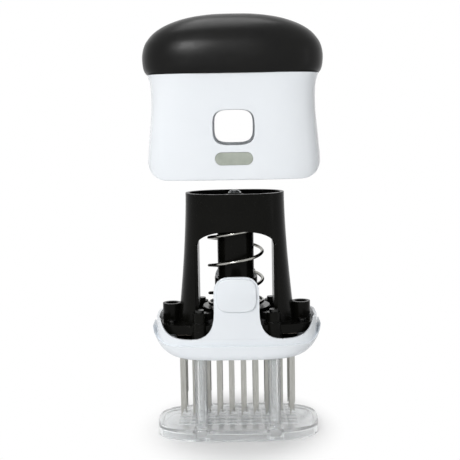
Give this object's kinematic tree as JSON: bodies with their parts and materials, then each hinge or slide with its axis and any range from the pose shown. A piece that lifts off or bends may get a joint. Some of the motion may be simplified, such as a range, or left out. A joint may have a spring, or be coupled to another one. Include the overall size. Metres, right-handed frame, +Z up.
{
  "type": "blade meat tenderizer",
  "caption": "Upright hand-pressed blade meat tenderizer: clear guard on columns, sprung blade tray and arch-windowed tower, and a lift-off housing with soft grip cap and release buttons.",
  "frame": {"origin": "middle of the guard's underside, on the table", "axes": "+Z up along the blades, -Y towards the front button, +X to the right as seen from the front"},
  "size_m": [0.1132, 0.067, 0.2679],
  "materials": {
    "white_plastic": "glossy",
    "black_plastic": "glossy",
    "grip_rubber": "satin",
    "clear_plastic": "clear",
    "steel": "satin",
    "clamp_steel": "satin",
    "inlay": "satin"
  },
  "bodies": {
    "guard": {"clear_guard": "clear_plastic", "guard_bridge": "black_plastic", "bridge_screws": "steel", "seat_washer": "steel", "return_spring": "steel"},
    "carriage": {"blade_tray": "white_plastic", "blade_row_1": "steel", "blade_row_2": "steel", "blade_row_3": "steel", "blade_row_4": "steel", "blade_row_5": "steel", "blade_carrier": "black_plastic", "clamp_plate": "clamp_steel", "carrier_tower": "black_plastic", "base_screws": "steel", "spring_post": "black_plastic", "crown_washer": "steel", "post_screw": "steel"},
    "front_latch": {"front_release_arm": "white_plastic"},
    "rear_latch": {"rear_release_arm": "white_plastic"},
    "handle": {"handle_shell": "white_plastic", "grip_cap": "grip_rubber", "handle_frame": "black_plastic", "frame_screws": "steel", "badge_inlay": "inlay"}
  },
  "joints": [
    {"name": "plunge", "type": "slide", "parent": "guard", "child": "carriage", "axis": [0, 0, 1], "range_m": [-0.03, 0], "stiffness_N_per_m": 800, "springref_m": 0.012, "deforming": ["return_spring"]},
    {"name": "front_release", "type": "hinge", "parent": "carriage", "child": "front_latch", "pos_m": [0, -0.0258, 0.066], "axis": [-1, 0, 0], "range_deg": [0, 8], "stiffness_Nm_per_rad": 2.5, "springref_deg": -1.72},
    {"name": "rear_release", "type": "hinge", "parent": "carriage", "child": "rear_latch", "pos_m": [0, 0.0258, 0.066], "axis": [1, 0, 0], "range_deg": [0, 8], "stiffness_Nm_per_rad": 2.5, "springref_deg": -1.72},
    {"name": "handle_lift", "type": "slide", "parent": "carriage", "child": "handle", "axis": [0, 0, 1], "range_m": [-0.1038, 0], "deforming": ["front_release_arm", "rear_release_arm"]}
  ]
}
